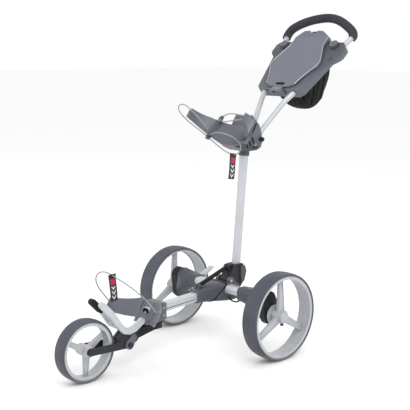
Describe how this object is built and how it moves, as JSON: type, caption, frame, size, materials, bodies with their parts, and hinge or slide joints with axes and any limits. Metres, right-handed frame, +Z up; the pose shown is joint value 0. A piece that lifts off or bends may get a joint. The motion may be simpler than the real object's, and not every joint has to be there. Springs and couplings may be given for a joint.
{
  "type": "golf push trolley",
  "caption": "Folding push trolley for a golf bag: wide rear wheels, small front wheel in a folding fork, jointed mast with cradles, and a handle with console and net bag.",
  "frame": {"origin": "on the ground under the middle of the bounding box", "axes": "+Z up, the front wheel towards -Y and the handle towards +Y, +X to the left of the person pushing"},
  "size_m": [0.577, 1.2146, 1.1371],
  "materials": {
    "tyre_foam": "satin foam",
    "rim_grey": "satin",
    "slate_plastic": "satin",
    "lid_grey": "semi-gloss",
    "black_plastic": "matte",
    "light_paint": "painted",
    "steel": "brushed",
    "grip_foam": "foam",
    "black_rubber": "matte",
    "mesh_fabric": "mesh",
    "cord_elastic": "braided",
    "tag_fabric": "woven"
  },
  "bodies": {
    "chassis": {"axle_tube": "light_paint", "wheel_bracket_left": "slate_plastic", "wheel_bracket_right": "slate_plastic", "brake_housings": "black_plastic", "rear_axles": "steel", "hub_front_shell": "slate_plastic", "link_seat": "slate_plastic", "hub_band": "black_plastic", "hub_rear_shell": "slate_plastic", "mast_pivot_pin": "steel", "main_beam": "light_paint", "lower_bracket": "slate_plastic", "lower_arms": "slate_plastic", "lower_screws": "steel", "foot_bar": "light_paint", "foot_cap": "black_rubber", "front_leg": "black_plastic", "fork_ears": "slate_plastic", "fork_pivot_pin": "steel", "lower_cord": "cord_elastic", "lower_tag": "tag_fabric", "brake_cable": "black_rubber"},
    "rear_wheel_left": {"rear_tyre_left": "tyre_foam", "rear_rim_left": "rim_grey", "hub_cap_left": "rim_grey"},
    "rear_wheel_right": {"rear_tyre_right": "tyre_foam", "rear_rim_right": "rim_grey", "hub_cap_right": "rim_grey"},
    "wheel_release_left": {"release_tab_left": "black_plastic"},
    "wheel_release_right": {"release_tab_right": "black_plastic"},
    "fork": {"front_fork": "black_plastic", "front_axle": "steel"},
    "front_wheel": {"front_tyre": "tyre_foam", "front_rim": "rim_grey"},
    "pedal": {"brake_pedal": "light_paint"},
    "brake_bolt_left": {"brake_pin_left": "steel"},
    "brake_bolt_right": {"brake_pin_right": "steel"},
    "mast": {"mast_clamp": "black_plastic", "mast_tube": "light_paint", "upper_bracket": "slate_plastic", "upper_saddle": "slate_plastic", "handle_pivot_pin": "steel", "upper_screws": "steel", "upper_cord_high": "cord_elastic", "upper_cord_low": "cord_elastic", "upper_cord_loop": "cord_elastic", "upper_tag_cord": "cord_elastic", "upper_tag": "tag_fabric"},
    "mast_lock": {"fold_latch": "slate_plastic"},
    "link": {"link_bar": "black_plastic"},
    "knob": {"tilt_knob": "black_plastic"},
    "handle": {"handle_tube": "light_paint", "handle_grip": "grip_foam", "console_shell": "slate_plastic", "lid_hinge_pin": "steel", "net_bag": "mesh_fabric"},
    "lid": {"console_lid": "lid_grey"},
    "lid_catch": {"lid_latch": "black_plastic"},
    "socket_cap_left": {"accessory_cap_left": "slate_plastic"},
    "socket_cap_right": {"accessory_cap_right": "slate_plastic"}
  },
  "joints": [
    {"name": "rear_wheel_left_spin", "type": "hinge", "parent": "chassis", "child": "rear_wheel_left", "pos_m": [0.2585, 0.08575, 0.146], "axis": [1, 0, 0], "continuous": true},
    {"name": "rear_wheel_right_spin", "type": "hinge", "parent": "chassis", "child": "rear_wheel_right", "pos_m": [-0.2585, 0.08575, 0.146], "axis": [1, 0, 0], "continuous": true},
    {"name": "fork_fold", "type": "hinge", "parent": "chassis", "child": "fork", "pos_m": [0, -0.36225, 0.092], "axis": [1, 0, 0], "range_deg": [0, 140]},
    {"name": "front_wheel_spin", "type": "hinge", "parent": "fork", "child": "front_wheel", "pos_m": [0, -0.50825, 0.099], "axis": [1, 0, 0], "continuous": true},
    {"name": "pedal_turn", "type": "hinge", "parent": "chassis", "child": "pedal", "pos_m": [-0.131, 0.09775, 0.202], "axis": [-1, 0, 0], "range_deg": [0, 25]},
    {"name": "brake_bolt_left_slide", "type": "slide", "parent": "chassis", "child": "brake_bolt_left", "axis": [1, 0, 0], "range_m": [0, 0.008]},
    {"name": "brake_bolt_right_slide", "type": "slide", "parent": "chassis", "child": "brake_bolt_right", "axis": [-1, 0, 0], "range_m": [0, 0.008]},
    {"name": "mast_fold", "type": "hinge", "parent": "chassis", "child": "mast", "pos_m": [0, 0.08975, 0.218], "axis": [1, 0, 0], "range_deg": [0, 76]},
    {"name": "link_swing", "type": "hinge", "parent": "mast", "child": "link", "pos_m": [0, 0.09975, 0.262], "axis": [1, 0, 0], "range_deg": [-87.71, 0]},
    {"name": "mast_lock_turn", "type": "hinge", "parent": "mast", "child": "mast_lock", "pos_m": [0, 0.15575, 0.25], "axis": [1, 0, 0], "range_deg": [0, 45]},
    {"name": "knob_turn", "type": "hinge", "parent": "mast", "child": "knob", "pos_m": [0, 0.21575, 0.702], "axis": [1, 0, 0], "range_deg": [0, 180]},
    {"name": "handle_fold", "type": "hinge", "parent": "mast", "child": "handle", "pos_m": [0, 0.21575, 0.702], "axis": [1, 0, 0], "range_deg": [-115, 15]},
    {"name": "lid_open", "type": "hinge", "parent": "handle", "child": "lid", "pos_m": [0, 0.33122, 0.86705], "axis": [1, 0, 0], "range_deg": [0, 100]},
    {"name": "lid_catch_press", "type": "slide", "parent": "lid", "child": "lid_catch", "axis": [0, 0.7349, 0.6782], "range_m": [0, 0.003], "stiffness_N_per_m": 400, "springref_m": -0.002},
    {"name": "socket_cap_left_turn", "type": "hinge", "parent": "handle", "child": "socket_cap_left", "pos_m": [0.117, 0.50426, 1.02605], "axis": [0, -0.6782, 0.7349], "range_deg": [0, 90]},
    {"name": "socket_cap_right_turn", "type": "hinge", "parent": "handle", "child": "socket_cap_right", "pos_m": [-0.117, 0.50426, 1.02605], "axis": [0, -0.6782, 0.7349], "range_deg": [0, 90]},
    {"name": "wheel_release_left_press", "type": "slide", "parent": "rear_wheel_left", "child": "wheel_release_left", "axis": [0, 0, 1], "range_m": [0, 0.003], "stiffness_N_per_m": 400, "springref_m": -0.002},
    {"name": "wheel_release_right_press", "type": "slide", "parent": "rear_wheel_right", "child": "wheel_release_right", "axis": [0, 0, 1], "range_m": [0, 0.003], "stiffness_N_per_m": 400, "springref_m": -0.002}
  ],
  "couplings": [
    {"joint": "brake_bolt_left_slide", "follows": "pedal_turn", "m_per_rad": 0.018334},
    {"joint": "brake_bolt_right_slide", "follows": "pedal_turn", "m_per_rad": 0.018334},
    {"joint": "link_swing", "follows": "mast_fold", "ratio": -1.154}
  ]
}
